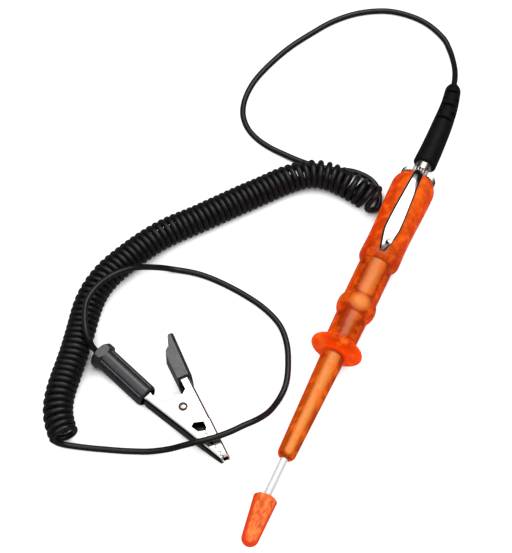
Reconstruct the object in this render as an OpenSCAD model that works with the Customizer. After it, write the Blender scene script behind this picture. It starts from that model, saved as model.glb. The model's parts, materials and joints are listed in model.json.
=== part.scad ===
// Automotive circuit tester: a lamp probe with a coiled lead and a crocodile clip.
// The tester lies along X on the table, its cord end towards +X and its needle towards -X.
// The origin is on the table, under the middle of the tester. Stations along the tester
// are counted from the outer face of the end cap towards the needle.

/* [Handle] */
// Length of the handle, from the clip's ring to its lip
handle_len = 38.3; // [34:0.1:44]
// Widest diameter of the handle, just below its shoulder
handle_d = 15.6; // [15:0.1:17]
// Diameter of the handle's face at the cord end
handle_face_d = 12.4; // [11.6:0.1:13.2]
// Length of the rounded shoulder
shoulder_len = 4.2; // [3.4:0.1:6]
// Diameter at the waist
waist_d = 14.2; // [13.8:0.1:14.6]
// Diameter at the lip
lip_d = 14.6; // [14.2:0.1:15]
// Radius of the lip's rounded end
lip_r = 3; // [2:0.1:4]
// Bore that holds the lamp and the barrel's spigot
handle_bore = 10.2; // [9.8:0.1:10.6]

/* [Barrel] */
// Diameter of the barrel below the lip
barrel_d = 12; // [11.6:0.1:12.6]
// Length of the barrel from the lip to the grip ring
barrel_len = 14.2; // [11:0.1:18]
// Spigot that is glued into the handle
spigot_len = 6.5; // [5:0.1:8]
// Diameter of the grip ring
ring_d = 13.8; // [13.2:0.1:14.6]
// Length of the grip ring
ring_len = 7.6; // [6:0.1:9]
// Diameter of the neck below the ring
neck_d = 11.2; // [10.6:0.1:11.6]
// Length of the neck, up to the finger guard
neck_len = 12.2; // [10:0.1:15]
// Diameter of the small bead above the guard
bead_d = 11.8; // [11.7:0.1:12.4]
// Length of the bead
bead_len = 2; // [1.4:0.1:3]
// Diameter of the finger guard
guard_d = 18.4; // [17.2:0.1:21]
// Thickness of the finger guard
guard_t = 2.8; // [2.2:0.1:4]
// Bore of the barrel round the contact spring
chamber_d = 5; // [4.6:0.1:6]

/* [Nose] */
// Diameter of the nose at the guard
nose_root_d = 8.5; // [7.8:0.1:9.4]
// Diameter of the nose before its rounded end
nose_end_d = 6.3; // [5.6:0.1:7]
// Length of the nose from the guard to its end
nose_len = 43.5; // [36:0.1:50]

/* [End cap] */
// Diameter over the knurled rim
rim_d = 12.9; // [12.4:0.1:13.6]
// Thickness of the knurled rim
rim_t = 2.2; // [1.8:0.1:3]
// Number of knurl teeth
knurl_count = 36; // [24:1:48]
// Depth of the knurl
knurl_depth = 0.45; // [0.2:0.05:0.7]
// Length of the screwed spigot in the handle
cap_spigot_len = 8.5; // [7:0.1:10]

/* [Pocket clip] */
// Thickness of the clip's spring sheet
leaf_t = 0.5; // [0.4:0.05:0.7]
// Width of the leaf at its root
leaf_root_w = 3.5; // [3:0.1:4]
// Widest part of the leaf
leaf_w = 5.7; // [5:0.1:6.6]
// Width of the leaf at its end
leaf_end_w = 2.6; // [2:0.1:3]
// Height of the leaf over the widest part of the handle
leaf_rise = 1.1; // [0.8:0.1:1.6]
// Turn of the clip on the handle, in degrees
leaf_roll = 5; // [0:1:10]

/* [Ferrule and strain relief] */
// Diameter of the ferrule
ferrule_d = 6; // [5.6:0.1:6.6]
// Bore of the ferrule
ferrule_bore = 3.6; // [3.2:0.1:4]
// Ferrule that shows between the boot and the cap
ferrule_gap = 3.6; // [2.6:0.1:5]
// Ferrule inside the boot
ferrule_grip = 8.4; // [6:0.1:10]
// Ferrule inside the end cap
ferrule_seat = 4.6; // [3.6:0.1:5.6]
// Diameter of the boot at its mouth
boot_d = 8.4; // [8:0.1:9.2]
// Diameter of the boot where its slots begin
boot_mid_d = 7.4; // [7:0.1:8]
// Diameter of the boot at its far end
boot_end_d = 5.5; // [5.2:0.1:6.2]
// Width of a bend slot
slot_w = 0.7; // [0.5:0.05:0.9]

/* [Lamp] */
// Diameter of the lamp's glass
glass_d = 6.4; // [6:0.1:6.8]
// Room between the glass and the end cap
glass_room = 0.8; // [0.5:0.1:1.5]
// Diameter of the lamp's base
base_d = 8.2; // [7.8:0.1:8.6]
// Length of the lamp's base
base_len = 8; // [7:0.1:9]
// Wall of the lamp holder
holder_wall = 0.5; // [0.4:0.05:0.6]
// Wire of the contact springs
spring_wire = 0.7; // [0.5:0.05:0.8]
// Outer diameter of the spring behind the lamp
lamp_spring_d = 9; // [8.6:0.1:9.4]
// Outer diameter of the spring in the barrel
needle_spring_d = 4.2; // [3.8:0.1:4.4]

/* [Probe needle] */
// Diameter of the needle
needle_d = 2.6; // [2.2:0.1:3]
// Length of the needle outside the nose
needle_out = 26; // [22:0.5:30]
// Length of the needle's point
point_len = 6; // [4:0.5:8]
// Needle behind the guard's front face, up to its head
needle_in = 12; // [9:0.1:14]

/* [Tip cap] */
// Bare needle between the nose and the cap
cap_gap = 15; // [12:0.5:17]
// Length of the cap
tip_cap_len = 18; // [16:0.5:21]
// Diameter of the cap's mouth
tip_cap_d = 8.1; // [7.6:0.1:8.8]
// Diameter of the cap at its closed end
tip_cap_end_d = 5.8; // [5.4:0.1:6.4]
// Crooked seat of the soft cap, in degrees
tip_cap_lean = 4; // [0:0.5:4.5]

/* [Lead] */
// Diameter of the lead
lead_d = 2.1; // [1.9:0.05:2.2]
// Outer diameter of its coiled stretch
coil_d = 10.5; // [9.6:0.1:10.5]

/* [Crocodile clip] */
// Thickness of the clip's sheet
sheet_t = 0.6; // [0.5:0.05:0.7]
// Width over the jaws
jaw_w = 6.4; // [6:0.1:6.8]
// Width of the jaws where their round nose starts
jaw_nose_w = 4.2; // [3.8:0.1:4.8]
// Reach of the jaws in front of the rivet
jaw_reach = 22.8; // [20:0.1:25]
// Drop from the rivet to the back of the fixed jaw
fixed_drop = 6.3; // [6:0.1:6.8]
// Rise from the rivet to the back of the moving jaw
moving_rise = 6.7; // [6.4:0.1:7.2]
// Angle between the two jaw backs
jaw_angle = 24.5; // [23.5:0.1:25]
// Pitch of the jaw teeth
tooth_pitch = 1.45; // [1.2:0.05:1.7]
// Height of the jaw teeth
tooth_h = 0.8; // [0.5:0.05:1]
// Length of the thumb handle, behind the rivet
moving_handle_len = 20.2; // [18.5:0.1:21.5]
// Diameter of the rivet's shank
rivet_d = 2.2; // [2:0.1:2.4]
// Diameter of the rivet's heads
rivet_head_d = 3.2; // [3:0.1:3.6]
// Outer diameter of the lead's sleeve
sleeve_d = 8; // [7.8:0.1:8]
// Length of the lead's sleeve
sleeve_len = 24; // [22:0.1:25]
// Diameter of the sleeve's collar, between its flats
collar_d = 9.6; // [8.6:0.1:10]
// Width of the thumb handle's sleeve
thumb_w = 7.6; // [7:0.1:8]

/* [Fits] */
// Gap round a pressed or glued piece
seat_gap = 0.03; // [0.01:0.01:0.05]
// Gap round a piece that slides or turns
run_gap = 0.05; // [0.03:0.01:0.1]
// Gap between pieces that only lie beside each other
side_gap = 0.3; // [0.2:0.05:0.4]

/* [Hidden] */
$fn = 64;
eps = 0.01;

// Stations along the tester
s_handle = rim_t + leaf_t;
s_lip = s_handle + handle_len;
s_ring = s_lip + barrel_len;
s_neck = s_ring + ring_len;
s_guard = s_neck + neck_len;
s_nose = s_guard + guard_t;
s_needle = s_nose + nose_len;
s_point = s_needle + needle_out;
s_tip_cap = s_needle + cap_gap;
s_end = s_tip_cap + tip_cap_len;
s_boot = -ferrule_gap;
s_spigot = s_lip - spigot_len;
s_cap_face = s_handle + cap_spigot_len;

// Resting pose: the handle's bulge and the guard's rim touch the table
bulge_r = shoulder_len * shoulder_len / (handle_d - handle_face_d)
        + (handle_d - handle_face_d) / 4;
bulge_c = [s_handle + shoulder_len, handle_d / 2 - bulge_r];
guard_edge = guard_t * 0.45;
guard_c = [s_guard + guard_t / 2, guard_d / 2 - guard_edge];
rest_run = guard_c[0] - bulge_c[0];
rest_rise = guard_c[1] - bulge_c[1];
rest_tilt = atan(rest_rise / rest_run)
          - asin((bulge_r - guard_edge) / norm([rest_run, rest_rise]));
rest_x = (s_end + s_boot - ferrule_grip) / 2 * cos(rest_tilt);
rest_z = guard_edge + guard_c[1] * cos(rest_tilt) - guard_c[0] * sin(rest_tilt);

module laid() {
    translate([rest_x, 0, rest_z])
        rotate([0, rest_tilt - 90, 0])
            children();
}

// Points on an arc, from angle a to angle b
function arc(c, r, a, b, n = 6) =
    [for (i = [0:n]) c + r * [cos(a + (b - a) * i / n), sin(a + (b - a) * i / n)]];

// Turned piece: the outline holds [radius, station] points
module turned(outline) {
    rotate_extrude() polygon(outline);
}

// Swaps [station, radius] points to [radius, station]
function swap(points) = [for (p = points) [p[1], p[0]]];

// Smooth step from a to b
function ease(a, b, t) = a + (b - a) * (1 - cos(180 * t)) / 2;

// Handle: waisted outline with a rounded shoulder and a rolled lip
waist_at = s_handle + handle_len * 0.7;
lip_c = [s_lip - lip_r, lip_d / 2 - lip_r];
shoulder_a = asin(shoulder_len / bulge_r);
handle_outline = concat(
    arc(bulge_c, bulge_r, 90 + shoulder_a, 90, 7),
    [for (i = [1:6]) [bulge_c[0] + (waist_at - bulge_c[0]) * i / 6, ease(handle_d, waist_d, i / 6) / 2]],
    [for (i = [1:3]) [waist_at + (lip_c[0] - waist_at) * i / 3, ease(waist_d, lip_d, i / 3) / 2]],
    arc(lip_c, lip_r, 75, 20, 5),
    [[s_lip, handle_bore / 2], [s_handle, handle_bore / 2]]
);

module handle_shell() {
    color([1.0, 0.35, 0.05, 0.8]) laid() turned(swap(handle_outline));
}

// Barrel: one moulding with spigot, grip ring, bead, finger guard and nose
nose_r = nose_end_d / 2;
chamber_end = s_nose - needle_in + needle_d;
ring_bow = ring_len * ring_len / (4 * (ring_d - neck_d)) + (ring_d - neck_d) / 4;
ring_c = [s_ring + ring_len / 2, ring_d / 2 - ring_bow];
ring_a = asin(ring_len / 2 / ring_bow);
barrel_outline = concat(
    [[s_spigot, chamber_d / 2], [s_spigot, handle_bore / 2 - seat_gap],
     [s_lip, handle_bore / 2 - seat_gap], [s_lip, barrel_d / 2], [s_ring, barrel_d / 2]],
    arc(ring_c, ring_bow, 90 + ring_a * 0.85, 90 - ring_a, 8),
    [[s_guard - bead_len, neck_d / 2 - 0.2], [s_guard - bead_len, bead_d / 2],
     [s_guard - 0.5, bead_d / 2], [s_guard, bead_d / 2 + 0.5]],
    arc(guard_c, guard_edge, 160, 20, 6),
    [[s_nose, nose_root_d / 2 + 0.6], [s_nose + 0.6, nose_root_d / 2]],
    arc([s_needle - nose_r * 0.8, nose_r * 0.2], nose_r * 0.8, 90, 15, 6),
    [[s_needle, needle_d / 2], [chamber_end, needle_d / 2], [chamber_end, chamber_d / 2]]
);

module probe_barrel() {
    color([1.0, 0.42, 0.08, 0.8]) laid() turned(swap(barrel_outline));
}

// End cap: knurled rim, screwed spigot, and a stepped bore for ferrule and pin
rim_edge = 0.7;
module knurled_rim() {
    step = 360 / knurl_count;
    linear_extrude(rim_t)
        polygon([for (i = [0:knurl_count - 1], k = [0:1])
            (rim_d / 2 - k * knurl_depth) * [cos((i + k / 2) * step), sin((i + k / 2) * step)]]);
}

module end_cap() {
    color([0.82, 0.80, 0.76]) laid() difference() {
        union() {
            intersection() {
                knurled_rim();
                turned([[0, 0], [rim_d / 2 - rim_edge, 0], [rim_d / 2 + rim_edge, 2 * rim_edge],
                        [rim_d / 2 + rim_edge, rim_t], [0, rim_t]]);
            }
            cylinder(d = handle_bore - 2 * seat_gap, h = s_cap_face);
        }
        translate([0, 0, -eps]) cylinder(d = ferrule_d + 2 * seat_gap, h = ferrule_seat + eps);
        cylinder(d = ferrule_bore, h = s_cap_face + eps);
    }
}

// Pocket clip: a ring under the cap, and one leaf bent over the handle to its lip
leaf_top = handle_d / 2 + leaf_rise;
leaf_touch = lip_d / 2 + leaf_t + 0.1;
leaf_end = s_lip - lip_r * 0.9;
leaf_bend = 1.6;
leaf_line = concat(
    arc([s_handle - leaf_t + leaf_bend, leaf_top - leaf_bend], leaf_bend, 180, 90, 5),
    [for (i = [1:6]) [ease(s_handle + leaf_bend, leaf_end - 4, i / 6), ease(leaf_top, leaf_touch, i / 6)]],
    [[leaf_end - 2.6, leaf_touch], [leaf_end, leaf_touch + 0.4]]
);
function along(points, i) =
    let (a = points[max(i - 1, 0)], b = points[min(i + 1, len(points) - 1)]) (b - a) / norm(b - a);
leaf_band = concat(
    [[s_handle - leaf_t, handle_face_d / 2 - 1]],
    leaf_line,
    [for (i = [len(leaf_line) - 1:-1:0])
        leaf_line[i] + leaf_t * [along(leaf_line, i)[1], -along(leaf_line, i)[0]]],
    [[s_handle, handle_face_d / 2 - 1]]
);
leaf_len = leaf_end - s_handle;
function leaf_half(t) =
    t < 0.72 ? ease(leaf_root_w, leaf_w, t / 0.72) / 2 : ease(leaf_w, leaf_end_w, (t - 0.72) / 0.28) / 2;
leaf_plan = concat(
    [[s_handle - 3, leaf_root_w / 2]],
    [for (i = [0:10]) [s_handle + leaf_len * i / 10, leaf_half(i / 10)]],
    [[leaf_end + 1, leaf_end_w * 0.3]]
);
leaf_plan_back = [for (i = [len(leaf_plan) - 1:-1:0]) [leaf_plan[i][0], -leaf_plan[i][1]]];

module pocket_clip() {
    color([0.86, 0.86, 0.88]) laid() rotate([0, 0, -leaf_roll]) {
        difference() {
            translate([0, 0, s_handle - leaf_t]) cylinder(d = handle_face_d, h = leaf_t);
            translate([0, 0, s_handle - leaf_t - eps]) cylinder(d = handle_bore, h = leaf_t + 2 * eps);
        }
        intersection() {
            rotate([90, 0, 0]) linear_extrude(leaf_w + 1, center = true) polygon(swap(leaf_band));
            translate([handle_bore / 2 + leaf_t, 0, 0])
                rotate([0, 90, 0]) rotate([0, 0, 180])
                    linear_extrude(leaf_top) polygon(concat(leaf_plan, leaf_plan_back));
        }
    }
}

// Ferrule: plated tube, crimped on the lead, seated in the end cap
ferrule_len = ferrule_grip + ferrule_gap + ferrule_seat;
module cord_ferrule() {
    color([0.80, 0.77, 0.70]) laid() translate([0, 0, s_boot - ferrule_grip]) difference() {
        cylinder(d = ferrule_d, h = ferrule_len);
        translate([0, 0, -eps]) cylinder(d = ferrule_bore, h = ferrule_len + 2 * eps);
    }
}

// Pin: brass contact on the lead's conductor, pressed through ferrule and end cap
module cord_pin() {
    pin_r = ferrule_bore / 2 - seat_gap;
    color([0.80, 0.62, 0.28]) laid() turned([
        [0, s_boot - ferrule_grip + 1], [pin_r, s_boot - ferrule_grip + 1], [pin_r, s_cap_face - 0.6],
        [pin_r - 0.6, s_cap_face], [0, s_cap_face]
    ]);
}

// Lamp with its base towards the needle, in a flanged holder
s_lamp_tip = s_spigot - side_gap;
s_base = s_lamp_tip - 1.2 - base_len;
s_glass = s_cap_face + glass_room;
holder_flange_t = 0.8;

module bulb_glass() {
    r = glass_d / 2;
    color([0.95, 0.95, 0.92, 0.5]) laid() turned(concat(
        [[0, s_base]],
        [[r * 0.8, s_base], [r, s_base - 2]],
        [for (i = [0:6]) [r * cos(i * 15), s_glass + r - r * sin(i * 15)]]
    ));
}

module bulb_base() {
    color([0.80, 0.70, 0.42]) laid() turned([
        [0, s_base], [base_d / 2 - 0.6, s_base], [base_d / 2 - seat_gap, s_base + 0.6],
        [base_d / 2 - seat_gap, s_lamp_tip - 1.6], [1.6, s_lamp_tip - 1.2], [1.2, s_lamp_tip],
        [0, s_lamp_tip]
    ]);
}

module lamp_holder() {
    color([0.78, 0.66, 0.36]) laid() translate([0, 0, s_base]) difference() {
        union() {
            cylinder(d = base_d + 2 * holder_wall, h = base_len);
            cylinder(d = handle_bore - 2 * run_gap, h = holder_flange_t);
        }
        translate([0, 0, -eps]) cylinder(d = base_d, h = base_len + 2 * eps);
    }
}

// Coil spring: a wire swept along rings, wound round the axis from z0 to z1
function tube_faces(n, sides) = concat(
    [[for (k = [sides - 1:-1:0]) k]],
    [for (i = [0:n - 2], k = [0:sides - 1])
        let (a = i * sides + k, b = i * sides + (k + 1) % sides)
        [a, b, b + sides, a + sides]],
    [[for (k = [0:sides - 1]) (n - 1) * sides + k]]
);

module wound_wire(r, wire_r, z0, z1, turns, sides = 6, per_turn = 14) {
    n = ceil(turns * per_turn) + 1;
    ring = [for (i = [0:n - 1])
        let (t = i / (n - 1), dead = 1.2 / turns,
             rise = t < dead ? 0 : t > 1 - dead ? 1 : (t - dead) / (1 - 2 * dead),
             lay = 2.2 * wire_r * 1.2,
             z = z0 + wire_r + min(t, dead) / dead * lay
                 + rise * (z1 - z0 - 2 * wire_r - 2 * lay) + max(t - 1 + dead, 0) / dead * lay,
             a = 360 * turns * t)
        for (k = [0:sides - 1])
            let (b = -360 * k / sides, q = r + wire_r * cos(b))
            [q * cos(a), q * sin(a), z + wire_r * sin(b)]];
    polyhedron(points = ring, faces = tube_faces(n, sides), convexity = 8);
}

module lamp_spring() {
    color([0.7, 0.7, 0.72]) laid()
        wound_wire((lamp_spring_d - spring_wire) / 2, spring_wire / 2, s_cap_face, s_base, 6);
}

module contact_spring() {
    color([0.7, 0.7, 0.72]) laid()
        wound_wire((needle_spring_d - spring_wire) / 2, spring_wire / 2, s_lamp_tip,
                   s_nose - needle_in, 11, 6, 12);
}

// Needle: turned steel rod with a flat head and a long point
module probe_needle() {
    head_r = chamber_d / 2 - run_gap;
    r = needle_d / 2;
    color([0.88, 0.88, 0.90]) laid() turned([
        [0, s_nose - needle_in], [head_r, s_nose - needle_in], [head_r, chamber_end],
        [r, chamber_end], [r, s_point - point_len], [0.25, s_point - 0.2], [0, s_point]
    ]);
}

// Tip cap: soft cap, pushed on a little crooked
cap_bore_end = s_point + 1;
module tip_cap() {
    r = tip_cap_end_d / 2;
    color([1.0, 0.42, 0.10, 0.85]) laid() difference() {
        translate([0, 0, s_tip_cap]) rotate([tip_cap_lean, 0, 0]) turned(concat(
            [[0, 0], [tip_cap_d / 2 - 0.5, 0], [tip_cap_d / 2, 0.5]],
            [for (i = [0:6]) [r * cos(i * 15), tip_cap_len - r + r * sin(i * 15)]]
        ));
        translate([0, 0, s_tip_cap - 1])
            cylinder(d = needle_d + 2 * run_gap, h = cap_bore_end - s_tip_cap + 1);
    }
}

// Cord curves: a smooth curve through points that were chosen along the lead
function curve_at(p, i, t) =
    let (a = p[max(i - 1, 0)], b = p[i], c = p[i + 1], d = p[min(i + 2, len(p) - 1)])
    0.5 * (2 * b + (c - a) * t + (2 * a - 5 * b + 4 * c - d) * t * t + (3 * b - a - 3 * c + d) * t * t * t);
function curve_point(p, s) = let (i = min(floor(s), len(p) - 2)) curve_at(p, i, s - i);
function unit(v) = v / norm(v);
function side_of(d) = unit(cross(d, [0, 0, 1]));

// Tube of a given diameter along a route, with one ring for each step
module routed(points, d, rings, sides, lead_in, lead_out) {
    n = len(points) - 1;
    at = [for (i = [0:rings - 1]) curve_point(points, n * i / (rings - 1))];
    dir = [for (i = [0:rings - 1])
        i == 0 ? unit(lead_in) : i == rings - 1 ? unit(lead_out) : unit(at[i + 1] - at[i - 1])];
    ring = [for (i = [0:rings - 1], k = [0:sides - 1])
        let (x = side_of(dir[i]), y = cross(x, dir[i]), a = 360 * (k + 0.5) / sides)
        at[i] + d / 2 * (x * cos(a) + y * sin(a))];
    polyhedron(points = ring, faces = tube_faces(rings, sides), convexity = 8);
}

// Strain relief: a boot that follows the tester, then droops and turns with the cord
boot_start = [rest_x - s_boot * cos(rest_tilt), 0, rest_z + s_boot * sin(rest_tilt)];
boot_line = [boot_start, [boot_start[0] + 9, 0, 7.4], [94, 0.3, 7.3], [104, 1.1, 6.7], [113, 2.8, 5.6]];
boot_out = unit([8.5, 2.4, -1.6]);
boot_end = boot_line[len(boot_line) - 1];
boot_rings = 24;

function boot_r(t) =
    t < 0.5 ? (boot_d + (boot_mid_d - boot_d) * t / 0.5) / 2
            : (boot_mid_d + (boot_end_d - boot_mid_d) * (t - 0.5) / 0.5) / 2
              * (t > 0.93 ? cos((t - 0.93) / 0.07 * 50) : 1);

function boot_at(t) = curve_point(boot_line, t * (len(boot_line) - 1));
function boot_dir(t) =
    t < 0.02 ? [cos(rest_tilt), 0, -sin(rest_tilt)]
             : t > 0.98 ? boot_out : unit(boot_at(t + 0.02) - boot_at(t - 0.02));

module boot_body(sides = 24) {
    ring = [for (i = [0:boot_rings - 1], k = [0:sides - 1])
        let (t = i / (boot_rings - 1), u = boot_dir(t), x = side_of(u), y = cross(x, u),
             a = 360 * k / sides)
        boot_at(t) + boot_r(t) * (x * cos(a) + y * sin(a))];
    polyhedron(points = ring, faces = tube_faces(boot_rings, sides), convexity = 4);
}

// One pair of bend slots, cut from two opposite sides down to a core round the cord
module boot_slots(t, turn) {
    u = boot_dir(t);
    translate(boot_at(t))
        multmatrix([for (k = [0:2]) [side_of(u)[k], cross(side_of(u), u)[k], u[k], 0]])
            rotate([0, 0, turn]) for (s = [-1, 1])
                translate([0, s * (lead_d / 2 + 0.7 + boot_d / 2), 0])
                    cube([boot_d, boot_d, slot_w], center = true);
}

module strain_relief() {
    color([0.10, 0.10, 0.11]) difference() {
        boot_body();
        laid() translate([0, 0, s_boot - ferrule_grip])
            cylinder(d = ferrule_d + 2 * seat_gap, h = ferrule_grip + 1, $fn = 24);
        for (i = [0:4]) boot_slots(0.53 + i * 0.085, i % 2 == 0 ? 0 : 90);
    }
}

// Lead from the boot, round in a loop, behind the coil and round its end
tail_handle_line = [
    boot_end, [119, 4.5, 4.2], [125, 7.2, 2.3], [131, 11.2, 1.2], [135, 15.4, 1.1],
    [138.4, 23, 1.1], [139.2, 31, 1.1], [137.6, 39.5, 1.1], [132.6, 48.3, 1.1], [125.6, 55.3, 1.1],
    [117.2, 60.7, 1.1], [107.5, 65.9, 1.1], [97.5, 69.6, 1.1], [88.5, 71.7, 1.1], [80.5, 71.7, 1.1],
    [74, 69.8, 1.1], [69.2, 66, 1.1], [66.2, 61, 1.1], [64.5, 55, 1.1], [63.9, 49, 1.1],
    [64.1, 43, 1.1], [65, 37, 1.1], [66, 31, 1.1], [66.9, 25, 1.1], [67.5, 20, 1.1],
    [66.8, 15.6, 1.1], [64.4, 12.2, 1.1], [62, 10.9, 1.1], [59.2, 10.7, 1.1]
];

module lead_tail_handle() {
    color([0.08, 0.08, 0.09])
        routed(tail_handle_line, lead_d, 31, 8, boot_out, [-1, 0, 0]);
}

// Coiled stretch, as the fat outline of its turns
coil_r = coil_d / 2;
coil_line = [
    [59.3, 11.9, coil_r], [58.9, 20, coil_r], [59.6, 28, coil_r], [58.6, 34.6, coil_r],
    [55.4, 39.7, coil_r], [50.8, 43.8, coil_r], [43.6, 49.8, coil_r], [36.4, 55.8, coil_r],
    [24.7, 65, coil_r], [14, 74, coil_r], [3, 80, coil_r], [-9, 85.2, coil_r],
    [-20, 86, coil_r], [-32, 83.3, coil_r], [-44, 81.3, coil_r], [-55, 79.8, coil_r],
    [-64, 76.8, coil_r], [-70.4, 71.4, coil_r]
];
coil_out = unit([-3, -5, 0]);

module lead_coil() {
    color([0.08, 0.08, 0.09])
        routed(coil_line, coil_d, 18, 12, [0, 1, 0], coil_out);
}

// Lead from the coil, over the jaws, round, and over the coil into the sleeve
clip_mid = 4;
jaw_top = clip_mid + jaw_w / 2;
over_jaw = jaw_top + lead_d / 2 + side_gap;
over_coil = coil_d + lead_d / 2 + side_gap;
tail_clip_line = [
    [-71, 70.3, 1.1], [-70, 67.6, 1.1], [-68.6, 62.6, 1.1], [-66.8, 57, 1.1], [-64.6, 50.5, 1.1],
    [-62, 44, 1.3], [-59.4, 38, 3.2], [-57.2, 33, 6.4], [-54.8, 28.6, over_jaw],
    [-51.6, 24.6, over_jaw + 0.1], [-47.6, 20.6, over_jaw + 0.2], [-43.8, 17.5, over_jaw + 0.2],
    [-38.9, 14.2, 7.3], [-33, 12.5, 3.6], [-26.1, 11.8, 1.3], [-20, 12.1, 1.1], [-13, 14.4, 1.1],
    [-6, 18, 1.1], [-0.4, 23.2, 1.1], [3.4, 31, 1.1], [5.6, 40.5, 1.1], [6.6, 50, 1.1],
    [6.4, 57.5, 1.1], [4.6, 65, 1.5], [1, 70.6, 5], [-4.6, 76.2, 9.8], [-10.6, 80.8, over_coil - 0.1],
    [-17, 84, over_coil], [-23.4, 84.8, over_coil], [-29, 83, over_coil + 0.1],
    [-33.6, 80.4, over_coil], [-36.4, 77.6, 9.8], [-37.2, 75.4, 6.4]
];

// Crocodile clip: its own frame has the rivet at the origin, X towards the tips,
// Y towards the moving jaw's back and Z up, through the rivet
clip_at = [-44.8, 39.1, clip_mid];
clip_turn = -106.3;
module clip_laid() {
    translate(clip_at) rotate([0, 0, clip_turn]) children();
}

function turn2(p, a) = [p[0] * cos(a) - p[1] * sin(a), p[0] * sin(a) + p[1] * cos(a)];

// Handle of the fixed jaw leans away from the jaw's back, and its sleeve lies along it
handle_lean = -5;
handle_knee = [-11.4, -fixed_drop];
handle_depth = 4.4;
handle_w = 4.8;
sleeve_start = 1;
sleeve_c = handle_depth / 2;
collar_len = 2.6;
plug_len = 4;
sleeve_end = sleeve_start + sleeve_len;
fixed_handle_len = sleeve_end - plug_len - side_gap;
function in_sleeve(x) = handle_knee + turn2([-x, sleeve_c], handle_lean);
lead_seat = turn2(in_sleeve(sleeve_end - plug_len), clip_turn);
lead_into = turn2([1, 0], clip_turn + handle_lean);

module lead_tail_clip() {
    color([0.08, 0.08, 0.09])
        routed(concat(tail_clip_line, [[clip_at[0] + lead_seat[0], clip_at[1] + lead_seat[1], clip_mid]]),
               lead_d, 31, 8, [0.4, -1, 0], [lead_into[0], lead_into[1], 0]);
}

// Bite line between the jaws, with its teeth
bite_start = 11.3;
bite_drop = 2.2;
bite_slope = tan(16);
bite_gap = 0.3;
bite_end = jaw_reach - 1.2;
tooth_count = floor((bite_end - bite_start) / tooth_pitch);
function bite_at(x) = -bite_drop - bite_slope * (x - bite_start);
bite_line = [for (i = [0:2 * tooth_count])
    let (x = bite_start + i * tooth_pitch / 2)
    [x, bite_at(x) + (i % 2 == 0 ? tooth_h / 2 : -tooth_h / 2)]];
function flip(points) = [for (i = [len(points) - 1:-1:0]) points[i]];

// Bar along X with a rounded back, and a channel of bent sheet with that outline
module rounded_back(length, depth, width, corner) {
    rotate([90, 0, 90]) linear_extrude(length) {
        translate([corner, -width / 2]) square([depth - corner, width]);
        translate([0, corner - width / 2]) square([corner + eps, width - 2 * corner]);
        for (s = [-1, 1]) translate([corner, s * (width / 2 - corner)]) circle(corner, $fn = 32);
    }
}

module channel(length, depth, width) {
    difference() {
        rounded_back(length, depth, width, 1.1);
        translate([-eps, sheet_t, sheet_t - width / 2])
            cube([length + 2 * eps, depth, width - 2 * sheet_t]);
    }
}

// Jaw of bent sheet along X: full width up to the joggle, then narrower, cut to a round nose.
// Each ring holds the bent back's outline. A plan holds [x, -z] points, as seen on the back.
joggle = 7.6;
jaw_nose_len = 2.8;
jaw_nose_x = jaw_reach - jaw_nose_len;
jaw_depth = 14;
jaw_corner = 1.1;
function width_at(x) = jaw_w - (jaw_w - jaw_nose_w) * max(0, x - joggle) / (jaw_nose_x - joggle);
function bent_ring(x, w) = [for (p = concat(
        arc([jaw_corner, w / 2 - jaw_corner], jaw_corner, 180, 90, 5),
        [[jaw_depth, w / 2], [jaw_depth, -w / 2]],
        arc([jaw_corner, jaw_corner - w / 2], jaw_corner, 270, 180, 5)
    )) [x, p[0], p[1]]];

module on_back(plan, height) {
    rotate([-90, 0, 0]) linear_extrude(height) polygon(plan);
}

module jaw_sheet(from, to) {
    half = width_at(to) / 2 - sheet_t;
    back = jaw_w / 2 - sheet_t;
    rings = [for (x = [from, joggle, to]) bent_ring(x, width_at(x))];
    sides = len(rings[0]);
    difference() {
        intersection() {
            polyhedron(points = concat(rings[0], rings[1], rings[2]), faces = tube_faces(3, sides));
            translate([0, -1, 0]) on_back(concat(
                [[from - 1, -jaw_w], [jaw_nose_x, -jaw_w]],
                [for (a = [-75:15:75]) [jaw_nose_x + jaw_nose_len * cos(a), jaw_nose_w / 2 * sin(a)]],
                [[jaw_nose_x, jaw_w], [from - 1, jaw_w]]
            ), jaw_depth + 2);
        }
        translate([0, sheet_t, 0]) on_back([
            [from - 1, -back], [joggle, -back], [to, -half], [to, half], [joggle, back], [from - 1, back]
        ], jaw_depth);
    }
}

ear_c = [-0.9, 0.2];
ear_r = 3.8;
neck_top = -3.4;
fixed_side = concat(
    [[handle_knee[0], -fixed_drop], [jaw_reach - 1.4, -fixed_drop], [jaw_reach - 0.4, -fixed_drop + 0.5],
     [jaw_reach, bite_at(jaw_reach) - bite_gap]],
    flip(bite_line),
    [[9.8, -3.7], [6.9, -3.9], [6.45, -1.8], [4.2, 0.8], [2.3, 2]],
    arc(ear_c, ear_r, 40, 195, 8),
    [[-6.1, neck_top], [handle_knee[0], neck_top]]
);
// Notch that grips a bare wire, between the two groups of teeth
notch_floor = -fixed_drop + sheet_t + 0.2;
notch = [[13.1, -2], [13.9, notch_floor], [16, notch_floor], [16.7, -3.7], [16.7, -2]];

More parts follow.
